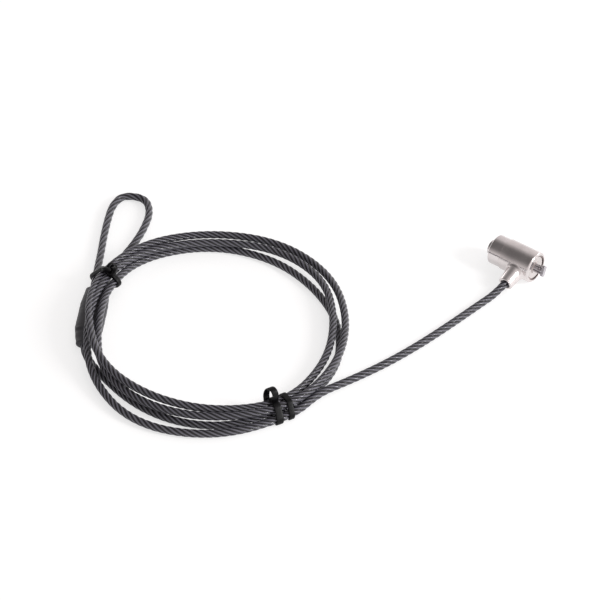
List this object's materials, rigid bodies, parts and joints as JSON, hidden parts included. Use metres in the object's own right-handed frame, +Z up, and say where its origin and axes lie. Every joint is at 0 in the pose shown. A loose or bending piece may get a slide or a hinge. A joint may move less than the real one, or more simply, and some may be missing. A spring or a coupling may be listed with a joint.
{
  "type": "laptop cable lock",
  "caption": "Barrel lock with a turning T-bar for a laptop's security slot, on a coiled, plastic-covered steel cable that ends in a crimped loop.",
  "frame": {"origin": "on the surface that the lock lies on, under the middle of the lock head's own box", "axes": "+X along the barrel towards the nose and its T-bar, +Z up, -Y the way the cable leaves the head"},
  "size_m": [0.2419, 0.2433, 0.0184],
  "materials": {
    "nickel_housing": "satin nickel plate on die-cast zinc",
    "nickel_cylinder": "bright nickel plate on turned brass",
    "nickel_nose": "bright nickel plate, stamped",
    "steel": "turned steel",
    "bar_steel": "hardened and plated steel",
    "guide_steel": "ground steel pins",
    "spring_steel": "spring wire",
    "plug_brass": "turned brass",
    "brass": "turned brass",
    "pin_brass": "turned brass",
    "aluminium": "crimped aluminium",
    "black_nylon": "moulded nylon",
    "cable": "smoke-grey PVC over galvanised wire rope",
    "shrink_sleeve": "heat-shrink tube",
    "tie_black": "plastic-covered tie wire"
  },
  "bodies": {
    "cable": {"cable_lead": "cable", "cable_coil": "cable", "cable_loop": "cable", "loop_ferrule": "aluminium", "ferrule_sleeve": "shrink_sleeve", "tie_lower": "tie_black", "tie_upper": "tie_black", "cable_stop": "steel"},
    "head": {"housing": "nickel_housing", "lock_shell": "nickel_cylinder", "shell_pin": "steel", "keyway_collar": "nickel_cylinder", "pin_block": "brass", "pin_springs": "spring_steel", "stop_pin": "steel", "guide_disc": "nickel_nose", "guide_pins": "guide_steel", "cable_bush": "black_nylon"},
    "turning_works": {"key_plug": "plug_brass", "spindle": "steel", "t_bar": "bar_steel", "t_bar_pin": "steel", "thrust_washer": "steel"},
    "key_pin_set": {"key_pins": "pin_brass"},
    "driver_pin_set": {"driver_pins": "steel"}
  },
  "joints": [
    {"name": "cable_swivel", "type": "hinge", "parent": "cable", "child": "head", "pos_m": [0.00375, 0.00484, 0.0092], "axis": [0, -0.9636, -0.2672], "continuous": true},
    {"name": "key_turn", "type": "hinge", "parent": "head", "child": "turning_works", "pos_m": [0, 0.00484, 0.0092], "axis": [1, 0, 0], "range_deg": [0, 90]},
    {"name": "key_pin_travel", "type": "slide", "parent": "turning_works", "child": "key_pin_set", "axis": [-1, 0, 0], "range_m": [0, 0.0012]},
    {"name": "driver_pin_travel", "type": "slide", "parent": "head", "child": "driver_pin_set", "axis": [-1, 0, 0], "range_m": [0, 0.0012]}
  ],
  "couplings": [
    {"joint": "key_pin_travel", "follows": "driver_pin_travel", "ratio": 1}
  ]
}
